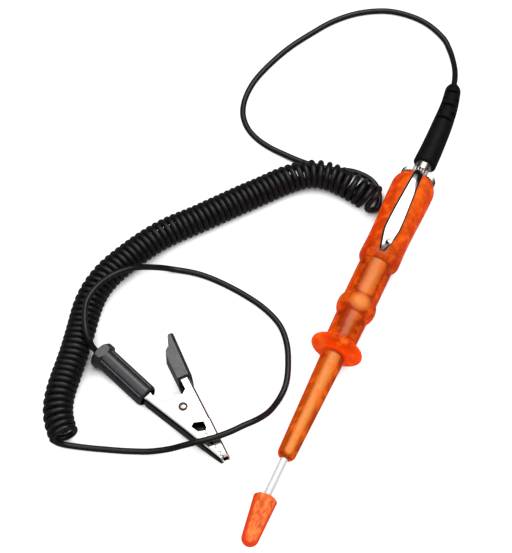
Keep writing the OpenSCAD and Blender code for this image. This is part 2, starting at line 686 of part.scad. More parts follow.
module clip_jaw_fixed() {
    color([0.90, 0.88, 0.84]) clip_laid() difference() {
        union() {
            intersection() {
                translate([0, -fixed_drop, 0]) jaw_sheet(handle_knee[0], jaw_reach + 1);
                linear_extrude(jaw_w + 1, center = true) polygon(fixed_side);
            }
            translate([handle_knee[0], handle_knee[1], 0]) rotate([0, 0, handle_lean])
                translate([-fixed_handle_len, 0, 0]) intersection() {
                    channel(fixed_handle_len + 0.2, handle_depth, handle_w);
                    linear_extrude(jaw_w, center = true) polygon([
                        [0, 0], [fixed_handle_len + 0.2, 0],
                        [fixed_handle_len + 0.2, neck_top + fixed_drop],
                        [fixed_handle_len - 3, handle_depth], [0, handle_depth]
                    ]);
                }
        }
        cylinder(d = rivet_d, h = jaw_w + 1, center = true);
        linear_extrude(jaw_w + 1, center = true) polygon(notch);
    }
}

// Moving jaw: narrow ears inside the fixed ones, joggled out to full width in front
inner_w = jaw_w - 2 * sheet_t - 2 * run_gap - 0.1;
thumb_floor = 3.6;
function own(p, q) = turn2([p, q], -jaw_angle);
moving_front = concat(
    [own(joggle, moving_rise + 1), own(joggle, 3.9), [8.8, 0.3], [10.9, -0.7]],
    [for (p = bite_line) p + [0, bite_gap]],
    [[jaw_reach, bite_at(jaw_reach) + bite_gap], own(jaw_reach, moving_rise - 0.5),
     own(jaw_reach - 1, moving_rise + 1)]
);
moving_back = concat(
    [own(-moving_handle_len, moving_rise + 1), own(-moving_handle_len, 4.6),
     own(-moving_handle_len + 1.5, thumb_floor), own(-6, thumb_floor)],
    arc([0, 0], 3.2, 150, 320, 8),
    [[6.3, -1.95], [8.35, 0.35], own(joggle + 0.7, 4.1), own(joggle + 0.7, moving_rise + 1)]
);

module cut_to(outline) {
    intersection() {
        rotate([0, 0, -jaw_angle]) translate([0, moving_rise, 0]) children();
        linear_extrude(jaw_w + 1, center = true) polygon(outline);
    }
}

module clip_jaw_moving() {
    color([0.90, 0.88, 0.84]) clip_laid() difference() {
        union() {
            cut_to(moving_front) rotate([180, 0, 0]) jaw_sheet(joggle - 1, jaw_reach + 1);
            cut_to(moving_back) translate([joggle + 0.6, 0, 0]) rotate([0, 0, 180])
                channel(moving_handle_len + joggle + 0.6, 14, inner_w);
            rotate([0, 0, -jaw_angle]) for (s = [-1, 1])
                translate([joggle, 4.1, s * (inner_w / 2 - sheet_t / 2 + 0.3) - 0.6])
                    cube([sheet_t, moving_rise - 5.4, 1.2]);
        }
        cylinder(d = rivet_d + 2 * run_gap, h = jaw_w + 1, center = true);
    }
}

// Rivet with two domed heads
rivet_head_t = 0.5;
module clip_rivet() {
    half = jaw_w / 2;
    r = rivet_head_d / 2;
    color([0.92, 0.92, 0.92]) clip_laid() turned([
        [0, -half - rivet_head_t], [r * 0.6, -half - rivet_head_t], [r, -half - 0.15], [r, -half],
        [rivet_d / 2 - seat_gap, -half], [rivet_d / 2 - seat_gap, half], [r, half],
        [r, half + 0.15], [r * 0.6, half + rivet_head_t], [0, half + rivet_head_t]
    ]);
}

// Torsion spring: turns round the rivet, one leg along each handle
spring_r = 2;
clip_wire_r = 0.35;
spring_turns = 3.4;
function spring_point(t) =
    let (a = 175 - 360 * spring_turns * t)
    [spring_r * cos(a), spring_r * sin(a), (2 * t - 1) * spring_side];
spring_side = spring_turns * clip_wire_r * 1.15;
leg_clear = sheet_t + clip_wire_r + run_gap;
spring_line = concat(
    [[-9.5, -fixed_drop + leg_clear, -spring_side]],
    [for (i = [0:44]) spring_point(i / 44)],
    [concat(own(-8.4, moving_rise - leg_clear), [spring_side])]
);

module clip_spring() {
    n = len(spring_line);
    sides = 6;
    ring = [for (i = [0:n - 1], k = [0:sides - 1])
        let (u = unit(spring_line[min(i + 1, n - 1)] - spring_line[max(i - 1, 0)]),
             x = side_of(u), y = cross(x, u), a = 360 * k / sides)
        spring_line[i] + clip_wire_r * (x * cos(a) + y * sin(a))];
    color([0.65, 0.65, 0.67]) clip_laid()
        polyhedron(points = ring, faces = tube_faces(n, sides), convexity = 8);
}

// Sleeve on the lead's handle: grooved cover, plugged round the lead, with a collar
sleeve_bore_r = 3.3;
module in_handle(x, height) {
    translate([handle_knee[0], handle_knee[1], 0]) rotate([0, 0, handle_lean])
        translate([-x, height, 0]) rotate([0, -90, 0]) children();
}

module clip_sleeve_cord() {
    r = sleeve_d / 2;
    soft = 1.4;
    collar_from = sleeve_len - collar_len;
    color([0.10, 0.10, 0.11]) clip_laid() in_handle(sleeve_start, sleeve_c) difference() {
        union() {
            difference() {
                turned(concat([[0, 0]], [for (p = arc([r - soft, soft], soft, -90, 0, 5)) p],
                              [[r, sleeve_len], [0, sleeve_len]]));
                for (a = [-37, 37, 143, 217]) rotate([0, 0, a]) translate([r + 0.25, 0, 1])
                    cylinder(r = 0.55, h = collar_from - 2, $fn = 24);
            }
            intersection() {
                turned([[0, collar_from - 1], [r - 0.1, collar_from - 1], [collar_d / 2, collar_from],
                        [collar_d / 2, sleeve_len - 0.8], [collar_d / 2 - 0.8, sleeve_len],
                        [0, sleeve_len]]);
                translate([-r, -collar_d, 0]) cube([sleeve_d, 2 * collar_d, sleeve_len]);
            }
        }
        translate([0, 0, -eps]) cylinder(r = sleeve_bore_r, h = sleeve_len - plug_len + eps);
        translate([0, 0, sleeve_len - plug_len - eps])
            cylinder(d1 = lead_d + 2 * run_gap, d2 = lead_d + 4, h = plug_len + 2 * eps);
    }
}

// Sleeve on the thumb handle: flat cover with a rounded back and a stepped end
thumb_mouth = -7.5;
mouth_slant = 2.7;
thumb_end = -moving_handle_len - 1.2;
thumb_back = moving_rise + 0.85;
thumb_side = [
    [thumb_mouth, 2.6], [thumb_mouth, thumb_back + 1], [thumb_end - 5.3, thumb_back + 1],
    [thumb_end - 5.3, moving_rise - 0.2], [thumb_end - 4.6, moving_rise - 0.6],
    [thumb_end - 1.3, moving_rise - 1.3], [thumb_end - 1, 4.4], [thumb_end, 3.3], [thumb_end + 1.2, 2.8]
];

module clip_sleeve_thumb() {
    color([0.10, 0.10, 0.11]) clip_laid() rotate([0, 0, -jaw_angle]) difference() {
        intersection() {
            linear_extrude(thumb_w, center = true) polygon(thumb_side);
            on_back([
                [thumb_end - 7, thumb_w], [thumb_end - 7, -thumb_w],
                [thumb_mouth - mouth_slant * 1.5, -thumb_w], [thumb_mouth + mouth_slant * 0.5, thumb_w]
            ], jaw_depth);
            translate([thumb_mouth, thumb_back, 0]) rotate([0, 0, 177])
                rounded_back(moving_handle_len + 6, 8, thumb_w, 1.6);
        }
        translate([-moving_handle_len - seat_gap, thumb_floor - seat_gap, -inner_w / 2 - seat_gap])
            cube([moving_handle_len + thumb_mouth + 1, moving_rise - thumb_floor + 2 * seat_gap,
                  inner_w + 2 * seat_gap]);
    }
}

// Bared conductor, pressed down in the handle's channel
module clip_conductor() {
    wire_r = lead_d / 2 - 0.35;
    bare_len = 14;
    color([0.80, 0.45, 0.25]) clip_laid()
        in_handle(sleeve_end - plug_len - bare_len, sheet_t + wire_r + seat_gap)
            cylinder(r = wire_r, h = bare_len);
}

handle_shell();
probe_barrel();
end_cap();
pocket_clip();
cord_ferrule();
cord_pin();
lamp_spring();
bulb_glass();
bulb_base();
lamp_holder();
contact_spring();
probe_needle();
tip_cap();
strain_relief();
lead_tail_handle();
lead_coil();
lead_tail_clip();
clip_conductor();
clip_sleeve_cord();
clip_sleeve_thumb();
clip_jaw_fixed();
clip_jaw_moving();
clip_rivet();
clip_spring();
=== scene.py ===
import json
import math

import bpy
import numpy as np
from mathutils import Matrix, Vector

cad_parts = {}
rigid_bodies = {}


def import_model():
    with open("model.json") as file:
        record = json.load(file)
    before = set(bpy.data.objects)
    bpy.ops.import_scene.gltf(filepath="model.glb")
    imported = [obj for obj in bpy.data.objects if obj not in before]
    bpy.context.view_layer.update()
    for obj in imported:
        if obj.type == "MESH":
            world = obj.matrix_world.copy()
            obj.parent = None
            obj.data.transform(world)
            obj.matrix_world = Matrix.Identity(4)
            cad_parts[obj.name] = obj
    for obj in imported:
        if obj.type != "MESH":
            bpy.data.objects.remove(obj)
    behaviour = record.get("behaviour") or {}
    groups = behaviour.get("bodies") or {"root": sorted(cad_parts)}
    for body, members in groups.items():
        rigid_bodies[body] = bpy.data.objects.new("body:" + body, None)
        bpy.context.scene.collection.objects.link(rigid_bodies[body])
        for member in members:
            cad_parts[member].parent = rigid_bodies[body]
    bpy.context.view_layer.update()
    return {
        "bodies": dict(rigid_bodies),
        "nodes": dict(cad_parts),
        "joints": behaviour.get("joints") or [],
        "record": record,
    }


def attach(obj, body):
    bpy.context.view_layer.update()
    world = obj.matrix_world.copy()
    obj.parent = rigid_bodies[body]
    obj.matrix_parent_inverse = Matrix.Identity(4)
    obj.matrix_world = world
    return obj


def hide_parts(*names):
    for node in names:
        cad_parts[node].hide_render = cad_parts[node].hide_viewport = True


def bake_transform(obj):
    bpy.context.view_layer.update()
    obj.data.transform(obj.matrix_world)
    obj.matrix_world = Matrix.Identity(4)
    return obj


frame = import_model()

scene = bpy.context.scene

# Camera
# Stands where the photograph's stood: 61 degrees above the table, three quarters of a metre away, beyond
# the tester's tip and looking along it
eye, aim = Vector((-0.3121, -0.1049, 0.6429)), Vector((0.01421, 0.03834, 0))
camera = bpy.data.objects.new("camera", bpy.data.cameras.new("camera"))
scene.collection.objects.link(camera)
camera.location = eye
camera.rotation_euler = (aim - eye).to_track_quat("-Z", "Y").to_euler()
camera.data.angle = math.radians(15)
camera.data.clip_start = 0.01
scene.camera = camera

# Lead
# One black vinyl cord from the boot to the clip: a loose loop, 70-odd turns wound tight and set by heat,
# and a second loop that crosses the jaws and the coil on its way into the clip's sleeve
MM = 0.001
lead_r, coil_r = 1.05, 4.2
tail_handle = [
    (110.8, 2.2, 5.95), (113, 2.8, 5.6), (119, 4.5, 4.2), (125, 7.2, 2.3), (131, 11.2, 1.2), (135, 15.4, 1.1),
    (138.4, 23, 1.1), (139.2, 31, 1.1), (137.6, 39.5, 1.1), (132.6, 48.3, 1.1), (125.6, 55.3, 1.1),
    (117.2, 60.7, 1.1), (107.5, 65.9, 1.1), (97.5, 69.6, 1.1), (88.5, 71.7, 1.1), (80.5, 71.7, 1.1),
    (74, 69.8, 1.1), (69.2, 66, 1.1), (66.2, 61, 1.1), (64.5, 55, 1.1), (63.9, 49, 1.1),
    (63.6, 44, 1.1), (63.6, 40, 1.1), (64, 36, 1.1), (64.7, 32, 1.1), (65.4, 28.6, 1.2), (66.5, 25.2, 1.5),
    (66.8, 22.6, 1.8), (66.7, 20, 2), (66.3, 17.4, 2.1), (65.4, 15, 2.1), (63.9, 12.9, 1.9),
    (61.8, 11.3, 1.6), (59.3, 10.2, 1.4), (56.8, 9.9, 1.2), (54.7, 10.7, 1.2), (53.1, 12.2, 1.5),
    (52.4, 13.5, 2.6)]
coil_axis = [
    (56.6, 12), (57.5, 15.2), (58.4, 19), (59.2, 23.5), (59.7, 28), (59.6, 32.2), (58.4, 36.2), (55.3, 40.1),
    (50.6, 44.3), (43.6, 49.8), (36.4, 55.8), (24.7, 65), (14, 74), (3, 80), (-9, 85), (-20, 86), (-32, 83.5),
    (-44, 81.3), (-55, 79.8), (-61.8, 78), (-66.6, 74.8), (-70.3, 70.8)]
tail_clip = [
    (-70, 66.8, 1.1), (-68.8, 62.8, 1.1), (-67.4, 58.6, 1.1), (-66, 54.4, 1.1), (-64.6, 50.5, 1.1),
    (-62, 44, 1.3), (-59.4, 38, 3.2), (-57.2, 33, 6.4), (-54.8, 28.6, 8.55), (-51.6, 24.6, 8.65),
    (-47.6, 20.6, 8.75), (-43.8, 17.5, 8.75), (-38.9, 14.2, 7.3), (-33, 12.5, 3.6), (-26.1, 11.8, 1.3),
    (-20, 12.1, 1.1), (-13, 14.4, 1.1), (-6, 18, 1.1), (-0.4, 23.2, 1.1), (3.4, 31, 1.1),
    (5.6, 40.5, 1.1), (6.6, 50, 1.1), (6.4, 57.5, 1.1), (4.6, 65, 1.5), (1, 70.6, 5),
    (-4.6, 76.2, 9.8), (-10.6, 80.8, 11.75), (-17, 84, 11.85), (-23.4, 84.8, 11.85),
    (-29, 83, 11.95), (-33.6, 80.4, 11.85), (-36.4, 77.6, 9.8), (-37.2, 75.4, 6.4), (-37.97, 70.58, 4)]


def curve(points, step=0.5):
    """Smooth curve through the points, as an array with about that spacing."""
    p = np.array(points, float)
    out = []
    for i in range(len(p) - 1):
        a, b, c, d = p[max(i - 1, 0)], p[i], p[i + 1], p[min(i + 2, len(p) - 1)]
        for t in np.linspace(0, 1, max(2, int(np.linalg.norm(c - b) / step)), endpoint=False):
            out.append(0.5 * (2 * b + (c - a) * t + (2 * a - 5 * b + 4 * c - d) * t * t
                              + (3 * b - a - 3 * c + d) * t ** 3))
    return np.array(out + [p[-1]])


def spread(points, step):
    """The same line with even spacing."""
    lengths = np.r_[0, np.cumsum(np.linalg.norm(np.diff(points, axis=0), axis=1))]
    at = np.linspace(0, lengths[-1], max(2, round(lengths[-1] / step)) + 1)
    return np.c_[[np.interp(at, lengths, points[:, k]) for k in range(3)]].T, at


def ease(t):
    """Smooth step from 0 at 0 to 1 at 1."""
    t = np.clip(t, 0, 1)
    return t * t * (3 - 2 * t)


def softened(values, width):
    """The values averaged over about that many neighbours."""
    bell = np.exp(-np.linspace(-2, 2, width) ** 2)
    padded = np.pad(values, width // 2, mode="reflect", reflect_type="odd")
    return np.convolve(padded, bell / bell.sum(), mode="valid")


# The turns lie against each other, wider apart on the outside of a bend, and lean over at both ends
turn_points, first_phase = 26, 0.2
closest_pitch, usual_pitch, tightest_bend = 2.09, 2.12, 0.09
first_lean, last_lean, first_swell, uneven = 0.5, 0.12, 0.5, 0.05
axis, s = spread(curve([(x, y, coil_r + lead_r) for x, y in coil_axis]), 0.2)
axis = np.c_[[softened(axis[:, k], 121) for k in range(3)]].T
heading = np.gradient(axis, s, axis=0)
heading /= np.linalg.norm(heading, axis=1)[:, None]
bend = softened(np.linalg.norm(np.gradient(heading, s, axis=0), axis=1), 41)
wander = sum(np.sin(s / w + w * 9) for w in (2.3, 3.7, 5.9)) / 3
lean = -first_lean * (1 - ease(s / 14)) - last_lean * (1 - ease((s[-1] - s) / 5))
tight = np.maximum(usual_pitch + 0.02 * wander,
                   closest_pitch / (1 - coil_r * np.minimum(bend, tightest_bend)))
pitch = softened(tight, 41) * (1 + coil_r * np.abs(np.gradient(lean, s)))
turn = np.r_[0, np.cumsum(np.diff(s) / pitch[1:])]
turn *= (round(turn[-1]) - first_phase) / turn[-1]
turned = np.linspace(0, turn[-1], int(turn_points * turn[-1]) + 1)
at = np.interp(turned, turn, s)
phase = 2 * np.pi * (first_phase + turned)
along = np.c_[[np.interp(at, s, heading[:, k]) for k in range(3)]].T
radius = (coil_r - uneven * (1 + np.interp(at, s, wander)))[:, None]
radius += first_swell * (1 - ease(phase / 16))[:, None]
lift = -radius * np.cos(phase)[:, None]
coil = np.c_[[np.interp(at, s, axis[:, k]) for k in range(3)]].T
coil += radius * np.sin(phase)[:, None] * np.cross((0, 0, 1), along) + (lift + radius - coil_r) * (0, 0, 1)
coil += np.interp(at, s, lean)[:, None] * lift * along

loops = [spread(curve(points), 0.8)[0] for points in (tail_handle, tail_clip)]
route = np.vstack([loops[0][:-1], coil, loops[1][1:]])
for join in (len(loops[0]) - 1, len(route) - len(loops[1])):
    for _ in range(20):
        part = route[join - 7:join + 8]
        route[join - 6:join + 7] = (part[:-2] + 2 * part[1:-1] + part[2:]) / 4
route[:, 2] = np.maximum(route[:, 2], lead_r)

line = bpy.data.curves.new("lead", "CURVE")
line.dimensions = "3D"
line.bevel_depth, line.bevel_resolution = lead_r * MM, 4
spline = line.splines.new("POLY")
spline.points.add(len(route) - 1)
spline.points.foreach_set("co", np.c_[route * MM, np.ones(len(route))].ravel())
spline.use_smooth = True
lead = bpy.data.objects.new("lead", line)
scene.collection.objects.link(lead)


def node(tree, kind, settings={}, *values, out=0, **sockets):
    """A new node: its settings come first, then values or links for its sockets, in order or by name."""
    made = tree.nodes.new(kind)
    for key, value in settings.items():
        if key == "stops":
            ramp = made.color_ramp.elements
            for place, _ in value[1:-1]:
                ramp.new(place)
            ramp[0].position, ramp[-1].position = value[0][0], value[-1][0]
            for stop, (_, colour) in zip(ramp, value):
                stop.color = (*colour, 1)
        else:
            setattr(made, key, value)
    named = {s.name.replace(" ", "_"): s for s in reversed(made.inputs)}
    named.update((s.identifier, s) for s in made.inputs)
    for key, value in (*zip(made.inputs, values), *sockets.items()):
        socket = named[key] if isinstance(key, str) else key
        if isinstance(value, Val):
            tree.links.new(value.socket, socket)
        elif isinstance(value, tuple):
            socket.default_value = (*value, 1)[:len(socket.default_value)]
        else:
            socket.default_value = value
    return Val(tree, made.outputs[out])


class Val:
    """A socket of a material's or shape's nodes. Arithmetic on it adds Math nodes."""

    def __init__(self, tree, socket):
        self.tree, self.socket = tree, socket

    def math(self, operation, *others):
        return node(self.tree, "ShaderNodeMath", {"operation": operation}, self, *others)

    def __add__(self, x):
        return self.math("ADD", x)

    def __sub__(self, x):
        return self.math("SUBTRACT", x)

    def __rsub__(self, x):
        return self.math("MULTIPLY_ADD", -1, x)

    def __mul__(self, x):
        return self.math("MULTIPLY", x)

    def __truediv__(self, x):
        return self.math("DIVIDE", x)

    def __rtruediv__(self, x):
        return self.math("POWER", -1) * x

    __radd__, __rmul__ = __add__, __mul__

    def at_least(self, x):
        return self.math("MAXIMUM", x)

    def at_most(self, x):
        return self.math("MINIMUM", x)

    def step(self, low, high):
        """Smooth step from 0 at low to 1 at high."""
        return node(self.tree, "ShaderNodeMapRange", {"interpolation_type": "SMOOTHSTEP"},
                    Value=self, From_Min=low, From_Max=high)


class Finish:
    """A material with one Principled shader. Its constants are keywords named as the shader's sockets."""

    def __init__(self, name, **constants):
        self.material = bpy.data.materials.new(name)
        self.material.use_nodes = True
        self.tree = self.material.node_tree
        self.output = self.tree.nodes["Material Output"]
        self.tree.nodes.remove(self.tree.nodes["Principled BSDF"])
        self.look = node(self.tree, "ShaderNodeBsdfPrincipled", {}, **constants)
        self.shader = self.look.socket.node
        self.tree.links.new(self.look.socket, self.output.inputs["Surface"])
        self.coords = node(self.tree, "ShaderNodeTexCoord", out="Object")

    def link(self, **values):
        """Links values to the shader's sockets."""
        for key, value in values.items():
            self.tree.links.new(value.socket, self.shader.inputs[key.replace("_", " ")])
        return self

    def place(self, scale=(1, 1, 1), frame=Matrix.Identity(4)):
        """Object coordinates in millimetres, in a frame, with each axis times its scale."""
        return node(self.tree, "ShaderNodeMapping", {"vector_type": "TEXTURE"}, self.coords,
                    tuple(frame.to_translation()), tuple(frame.to_euler()), tuple(MM / k for k in scale))

    def noise(self, size, detail, place=None):
        """Noise from about 0.25 to 0.75 with patches of that size in millimetres."""
        return node(self.tree, "ShaderNodeTexNoise", {}, Vector=place or self.place(), Scale=1 / size,
                    Detail=detail)

    def axis(self, place, i):
        """One coordinate of a place."""
        return node(self.tree, "ShaderNodeSeparateXYZ", {}, place, out=i)

    def ramp(self, value, *stops):
        """Colour that follows the value through (place, colour) stops."""
        return node(self.tree, "ShaderNodeValToRGB", {"stops": stops}, value)

    def between(self, share, a, b):
        """Colour a where share is 0, b where it is 1."""
        return node(self.tree, "ShaderNodeMix", {"data_type": "RGBA"}, share, A_Color=a, B_Color=b, out=2)

    def bump(self, height, distance):
        """Relief on the surface; distance is its depth in millimetres."""
        return self.link(Normal=node(self.tree, "ShaderNodeBump", {}, Height=height, Distance=distance * MM))


def paint(finish, *objects):
    """The finish becomes the only material of the objects."""
    for o in objects:
        o.data.materials.clear()
        o.data.materials.append(finish.material)


def black_vinyl(name, dark, pale, rough, grain=0.35, gloss=0.5):
    """Black plastic, a little uneven in colour and sheen, with a fine grain."""
    f = Finish(name, Base_Color=dark, Roughness=rough, Specular_IOR_Level=gloss)
    f.link(Base_Color=f.ramp(f.noise(1.6, 3), (0.3, dark), (0.7, pale)),
           Roughness=rough - 0.08 + 0.16 * f.noise(3, 3))
    return f.bump(f.noise(grain, 2), 0.02)


paint(black_vinyl("lead_vinyl", (0.003, 0.003, 0.004), (0.008, 0.008, 0.009), 0.30), lead)
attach(lead, "root")
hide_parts("lead_tail_handle", "lead_coil", "lead_tail_clip")

# Table and light
# A white card in a dark room, one soft light beyond the tester that the plated parts mirror, and a wide even
# glow from above; what the camera sees directly is white, save for the shadows close to the tester, which are
# partly painted shade where the card is closed in; in reflections the card is dark grey, and through the
# clear plastic it shows a painted bright strip right under the tester, darker aside
scene.view_settings.view_transform = "Standard"


def rays(tree):
    """1 for what is seen by the camera, in a reflection, and through clear plastic."""
    direct, glossy, through = (node(tree, "ShaderNodeLightPath", out=name)
                               for name in ("Is Camera Ray", "Is Glossy Ray", "Is Transmission Ray"))
    return direct, glossy * (1 - through), through


world = bpy.data.worlds.new("world")
scene.world = world
world.use_nodes = True
tree = world.node_tree
direct, glossy, through = rays(tree)
ray_to = node(tree, "ShaderNodeTexCoord", out="Generated")
up = node(tree, "ShaderNodeSeparateXYZ", {}, ray_to, out="Z")
mirrored = 0.01 + 0.9 * up.step(0.5, 0.97)
seen_through = 0.08 + 1.1 * up.step(0.1, 0.7)
ambient = 1.3 * up.step(-0.3, 0.5)
strength = direct + glossy * mirrored + through * seen_through + (1 - direct - glossy - through) * ambient
tree.links.new(strength.socket, tree.nodes["Background"].inputs["Strength"])
tree.nodes["Background"].inputs["Color"].default_value = (1, 1, 1, 1)

middle, radiance = Vector((0.02, 0.03, 0)), 1.8
area = bpy.data.lights.new("far_light", "AREA")
area.shape, area.size, area.size_y = "RECTANGLE", 0.78, 0.46
area.energy = radiance * math.pi * area.size * area.size_y
far_light = bpy.data.objects.new("far_light", area)
scene.collection.objects.link(far_light)
far_light.location = (0.43, -0.05, 0.85)
far_light.rotation_euler = (middle - far_light.location).to_track_quat("-Z", "Y").to_euler()

table = Finish("table", Base_Color=(0.9, 0.9, 0.9), Roughness=0.9)
direct, glossy, through = rays(table.tree)
openness_for_painted_shade = node(table.tree, "ShaderNodeAmbientOcclusion", {"samples": 8}, Distance=0.012, out="AO")
# Painted shade: the card's colour darkens to near black where it is closed in under and between the tester's
# parts
table.link(Base_Color=table.ramp(openness_for_painted_shade, (0.12, (0.02, 0.02, 0.02)), (0.36, (0.9, 0.9, 0.9))))
# Painted light: seen through the clear plastic, the card is a bright strip right under the tester and darker
# aside
aside = (node(table.tree, "ShaderNodeSeparateXYZ", {}, table.coords, out="Y") - 0.0015).math("ABSOLUTE")
painted_light_strip = table.between(aside.step(0.002, 0.009), (1.7, 1.7, 1.7), (0.2, 0.2, 0.2))
seen = table.between(glossy, table.between(through, (1.2, 1.2, 1.2), painted_light_strip), (0.14, 0.14, 0.14))
glow = node(table.tree, "ShaderNodeEmission", {}, seen)
# Painted shade as well: the white glow gives way to that darkened card where the card is closed in
lit = (0.88 * direct * openness_for_painted_shade.step(0.25, 0.55)).at_least(glossy).at_least(through)
mixed = node(table.tree, "ShaderNodeMixShader", {}, lit, table.look, glow)
table.tree.links.new(mixed.socket, table.output.inputs["Surface"])
card_r, card_sides = 0.55, 64
card = bpy.data.meshes.new("card")
card.from_pydata([middle + card_r * Vector((math.cos(a), math.sin(a), 0))
                  for a in np.linspace(0, 2 * math.pi, card_sides + 1)[:-1]], [], [range(card_sides)])
floor = bpy.data.objects.new("floor", card)
scene.collection.objects.link(floor)
paint(table, floor)

# Handle and barrel
# Moulded in clear orange plastic, a little cloudy where it is thick: a bored handle with a waist and a
# rolled lip, and a barrel whose spigot fits into it, with grip ring, finger guard and nose in one piece
nodes = frame["nodes"]

# The tester lies on the handle's widest part and on the guard's rim, so its axis is tilted
tilt = math.radians(1.15316)
rest_x, rest_z = 71.1356, 7.66084
up_axis = Vector((math.sin(tilt), 0, math.cos(tilt)))
station_axis = Vector((-math.cos(tilt), 0, math.sin(tilt)))
tester = Matrix([(up_axis.x, 0, station_axis.x, rest_x * MM), (0, 1, 0, 0),
                 (up_axis.z, 0, station_axis.z, rest_z * MM), (0, 0, 0, 1)])


def laid(points):
    """(up, aside, station) points in the part's frame; stations run from the end cap to the tip."""
    p = np.array(points, float)
    return np.c_[rest_x + p[:, 0] * up_axis.x + p[:, 2] * station_axis.x, p[:, 1],
                 rest_z + p[:, 0] * up_axis.z + p[:, 2] * station_axis.z]


def above_axis(f, place):
    """How far a place lies from the tester's axis towards the side that faces up and a little to -Y."""
    return 0.976 * f.axis(place, 0) - 0.218 * f.axis(place, 1)


def clear_orange(name, rough, swirls, cloud, radius, painted_tones):
    """Clear plastic mixed in swirls with its own cloudy form, whose colour is painted light and shade: tones
    that run from the sides to the top. The cloudy share and the radius follow the station."""
    f = Finish(name, Base_Color=(1.0, 0.78, 0.16), Roughness=rough, IOR=1.49, Transmission_Weight=1.0)
    depth = node(f.tree, "ShaderNodeVolumeAbsorption", {}, (0.999, 0.77, 0.0), 800)
    f.tree.links.new(depth.socket, f.output.inputs["Volume"])
    swirl = f.noise(3.2, 3)
    place = f.place(frame=tester)
    station = f.axis(place, 2)
    # Painted light and shade: the cloudy colour follows how far the place lies towards the top, lighter on
    # top, deeper at the sides
    painted_tone = f.ramp(above_axis(f, place) / radius(station), *painted_tones)
    waves = f.noise(6, 2) + 0.12 * f.noise(0.5, 2)
    relief = node(f.tree, "ShaderNodeBump", {}, Height=waves, Distance=0.05 * MM)
    f.link(Roughness=rough - 0.03 + 0.08 * f.noise(1.2, 4), Normal=relief)
    milk = node(f.tree, "ShaderNodeBsdfPrincipled", {}, Roughness=rough + 0.1, IOR=1.49,
                Base_Color=f.between(0.6 * swirl.step(0.45, 0.7), painted_tone, (1.0, 0.17, 0.01)),
                Specular_IOR_Level=0.06, Normal=relief)
    share = cloud(station) + swirls * (swirl - 0.5)
    mixed = node(f.tree, "ShaderNodeMixShader", {}, share, f.look, milk)
    f.tree.links.new(mixed.socket, f.output.inputs["Surface"])
    return f


def handle_cloud(station):
    return 0.68 - 0.25 * station.step(28, 40)


def on_ring(station):
    """1 on the grip ring."""
    return station.step(54.6, 55.4) * (1 - station.step(62.6, 63.4))


def barrel_cloud(station):
    on_guard = station.step(73.6, 74.6) * (1 - station.step(78, 79.4))
    return 0.54 + 0.06 * on_ring(station) + 0.4 * on_guard + 0.08 * station.step(76, 84)


def barrel_radius(station):
    """Radius that the painted light and shade tones are spread over: the tube's, ring's and nose's own, and
    twice the guard's.
    """
    to_guard, to_nose = 14 * station.step(72.6, 74.2), 16.15 * station.step(78.2, 80)
    return 6.4 + 0.6 * on_ring(station) + to_guard - to_nose - 0.0253 * (station - 79).at_least(0)


# Painted light and shade: each list of tones runs from the plastic's sides (0) to its top (1)
paint(clear_orange("handle_plastic", 0.10, 0.9, handle_cloud, lambda station: 7.4,
                   ((0.0, (1.0, 0.07, 0.001)), (0.45, (0.95, 0.065, 0.001)), (0.75, (0.75, 0.07, 0.003)),
                    (1.0, (1.0, 0.14, 0.01)))), nodes["handle_shell"])
paint(clear_orange("barrel_plastic", 0.05, 0.3, barrel_cloud, barrel_radius,
                   ((0.0, (1.0, 0.07, 0.002)), (0.3, (0.95, 0.06, 0.001)), (0.5, (0.30, 0.03, 0.002)),
                    (0.80, (0.42, 0.045, 0.003)), (0.95, (1.0, 0.32, 0.06)))), nodes["probe_barrel"])

# End cap, ferrule and pin
# Turned brass, the cap and the ferrule nickel-plated and warm in tone; the cap has a knurled rim and screws
# into the handle, and holds the pin that the lead's conductor is crimped in
def plated(name, bright, dull, rough=0.16, marks=0.35, metal=1.0):
    """Plated metal with duller patches and fine turning or rolling marks."""
    f = Finish(name, Metallic=metal, Base_Color=bright, Roughness=rough)
    f.link(Base_Color=f.ramp(f.noise(2.5, 4), (0.30, dull), (0.60, bright)),
           Roughness=rough * 0.6 + rough * 0.8 * f.noise(1.4, 4))
    return f.bump(f.noise(0.25, 1, place=f.place(scale=(1, 0.04, 0.04))), 0.01 * marks)


paint(plated("warm_nickel", (0.88, 0.84, 0.78), (0.84, 0.79, 0.72), rough=0.22, marks=0.1), nodes["end_cap"],
      nodes["cord_ferrule"])
paint(plated("turned_brass", (0.78, 0.58, 0.26), (0.55, 0.38, 0.15)), nodes["cord_pin"], nodes["bulb_base"],
      nodes["lamp_holder"])

# Pocket clip
# Chromed spring sheet: a ring that the end cap clamps on the handle, and a crowned leaf with rolled-down
# edges that is bent over the handle, with a dimple and a turned-up lip at its end
def loft(rings, closed=False):
    """Faces of a tube through rings of points, its ends closed or joined."""
    n, m = len(rings), len(rings[0])
    last = n if closed else n - 1
    quads = [(i * m + k, i * m + (k + 1) % m, (i + 1) % n * m + (k + 1) % m, (i + 1) % n * m + k)
             for i in range(last) for k in range(m)]
    return quads if closed else quads + [tuple(reversed(range(m))), tuple(range((n - 1) * m, n * m))]


def piece(name, vertices, faces, finish, replaces, sharp=40):
    """A new mesh piece from vertices in millimetres, which stands still with the tester."""
    mesh = bpy.data.meshes.new(name)
    mesh.from_pydata([[c * MM for c in v] for v in vertices], [], faces)
    mesh.polygons.foreach_set("use_smooth", [True] * len(mesh.polygons))
    mesh.set_sharp_from_angle(angle=math.radians(sharp))
    mesh.update()
    o = bpy.data.objects.new(name, mesh)
    scene.collection.objects.link(o)
    paint(finish, o)
    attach(o, "root")
    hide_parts(*replaces)
    return o


